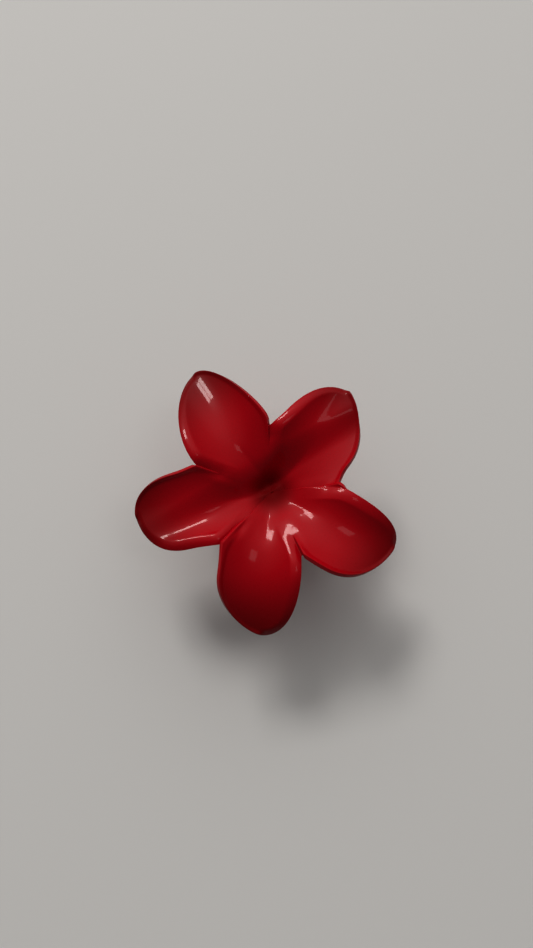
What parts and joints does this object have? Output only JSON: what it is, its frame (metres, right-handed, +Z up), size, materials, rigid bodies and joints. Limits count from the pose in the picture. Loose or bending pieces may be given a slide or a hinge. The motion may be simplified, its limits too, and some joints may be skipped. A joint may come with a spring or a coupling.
{
  "type": "flower hair clip",
  "caption": "Spring-loaded claw hair clip in glossy red plastic whose two handles form a cupped flower, with interleaved curved teeth below.",
  "frame": {"origin": "middle of the footprint, on the surface the teeth stand on", "axes": "+Z up through the flower, +X along the hinge pin, +Y towards the half with three petals"},
  "size_m": [0.0778, 0.0836, 0.0476],
  "materials": {
    "red_plastic": "deep red moulded plastic, high gloss",
    "steel": "bright drawn spring wire"
  },
  "bodies": {
    "large_half": {"large_petal_right": "red_plastic", "large_petal_middle": "red_plastic", "large_petal_left": "red_plastic", "large_throat": "red_plastic", "large_claw": "red_plastic", "hinge_pin": "steel", "torsion_spring": "steel"},
    "small_half": {"small_petal_left": "red_plastic", "small_petal_right": "red_plastic", "small_throat": "red_plastic", "small_claw": "red_plastic"}
  },
  "joints": [
    {"name": "claw_hinge", "type": "hinge", "parent": "large_half", "child": "small_half", "pos_m": [0.00191, -0.00356, 0.028], "axis": [-1, 0, 0], "range_deg": [0, 33], "stiffness_Nm_per_rad": 0.3, "springref_deg": -20.05, "deforming": ["torsion_spring"]}
  ]
}
